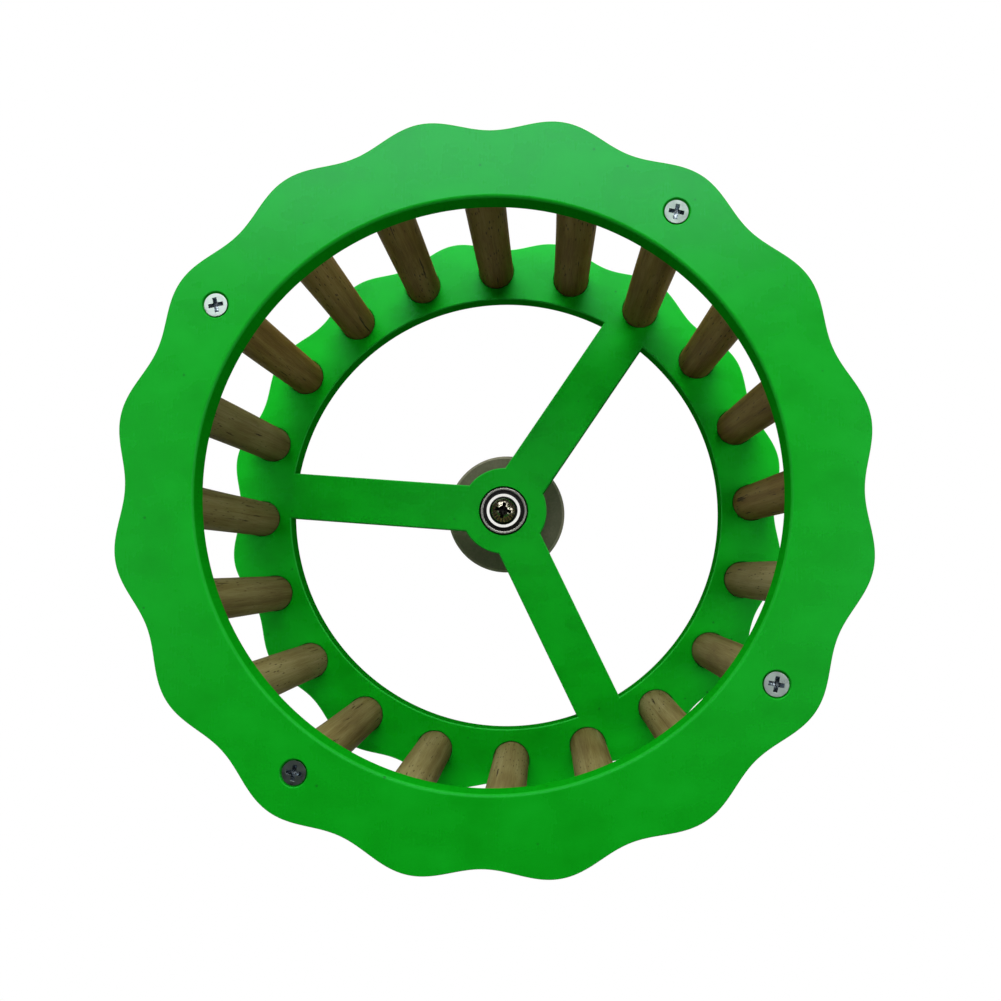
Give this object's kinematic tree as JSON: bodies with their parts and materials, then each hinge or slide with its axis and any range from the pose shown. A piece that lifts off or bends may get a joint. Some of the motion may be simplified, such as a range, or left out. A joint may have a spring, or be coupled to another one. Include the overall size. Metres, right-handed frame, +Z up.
{
  "type": "bird exercise wheel",
  "caption": "Running wheel for a caged bird: wavy-edged plastic plates joined by wooden dowels, turning on a ball bearing and an axle screw that clamps to the cage bars.",
  "frame": {"origin": "on the axle's centre line, at the back face of the mount disc, where it bears on the cage bars", "axes": "+Y runs along the axle from the wheel towards the cage, so the open front faces -Y; +Z is up and +X is to the right when the wheel is seen from its front"},
  "size_m": [0.2512, 0.1797, 0.2512],
  "materials": {
    "green_plastic": "satin, with faint saw and mould streaks",
    "dowel_wood": "bare sanded hardwood",
    "disc_wood": "bare sanded wood, greyed",
    "zinc_screw": "bright zinc plated",
    "washer_steel": "zinc plated",
    "bearing_steel": "ground and polished",
    "cage_steel": "pressed",
    "seal_rubber": "matte",
    "spacer_aluminium": "turned"
  },
  "bodies": {
    "axle": {"axle_screw": "zinc_screw", "head_washer": "washer_steel", "bearing_inner_race": "bearing_steel", "axle_spacer": "spacer_aluminium", "mount_disc": "disc_wood"},
    "wheel": {"front_ring": "green_plastic", "rear_plate": "green_plastic", "dowel_01": "dowel_wood", "dowel_02": "dowel_wood", "dowel_03": "dowel_wood", "dowel_04": "dowel_wood", "dowel_05": "dowel_wood", "dowel_06": "dowel_wood", "dowel_07": "dowel_wood", "dowel_08": "dowel_wood", "dowel_09": "dowel_wood", "dowel_10": "dowel_wood", "dowel_11": "dowel_wood", "dowel_12": "dowel_wood", "dowel_13": "dowel_wood", "dowel_14": "dowel_wood", "dowel_15": "dowel_wood", "dowel_16": "dowel_wood", "dowel_17": "dowel_wood", "dowel_18": "dowel_wood", "dowel_19": "dowel_wood", "dowel_20": "dowel_wood", "front_screws": "zinc_screw", "rear_screws": "zinc_screw", "bearing_outer_race": "bearing_steel", "bearing_front_seal": "seal_rubber", "bearing_rear_seal": "seal_rubber"},
    "ball_set": {"bearing_balls": "bearing_steel", "bearing_cage": "cage_steel"},
    "clamp": {"clamp_washer": "washer_steel", "lock_washer": "washer_steel"},
    "wing_nut": {"wing_nut": "zinc_screw"}
  },
  "joints": [
    {"name": "wheel_spin", "type": "hinge", "parent": "axle", "child": "wheel", "pos_m": [0, -0.032, 0], "axis": [0, 1, 0], "continuous": true},
    {"name": "ball_set_spin", "type": "hinge", "parent": "axle", "child": "ball_set", "pos_m": [0, -0.032, 0], "axis": [0, 1, 0], "continuous": true},
    {"name": "clamp_slide", "type": "slide", "parent": "axle", "child": "clamp", "axis": [0, 1, 0], "range_m": [-0.00445, 0.00572]},
    {"name": "wing_nut_turn", "type": "hinge", "parent": "clamp", "child": "wing_nut", "pos_m": [0, 0.0122, 0], "axis": [0, 1, 0], "range_deg": [-1260, 1620]}
  ],
  "couplings": [
    {"joint": "ball_set_spin", "follows": "wheel_spin", "ratio": 0.63233},
    {"joint": "clamp_slide", "follows": "wing_nut_turn", "m_per_rad": 0.00020213}
  ]
}
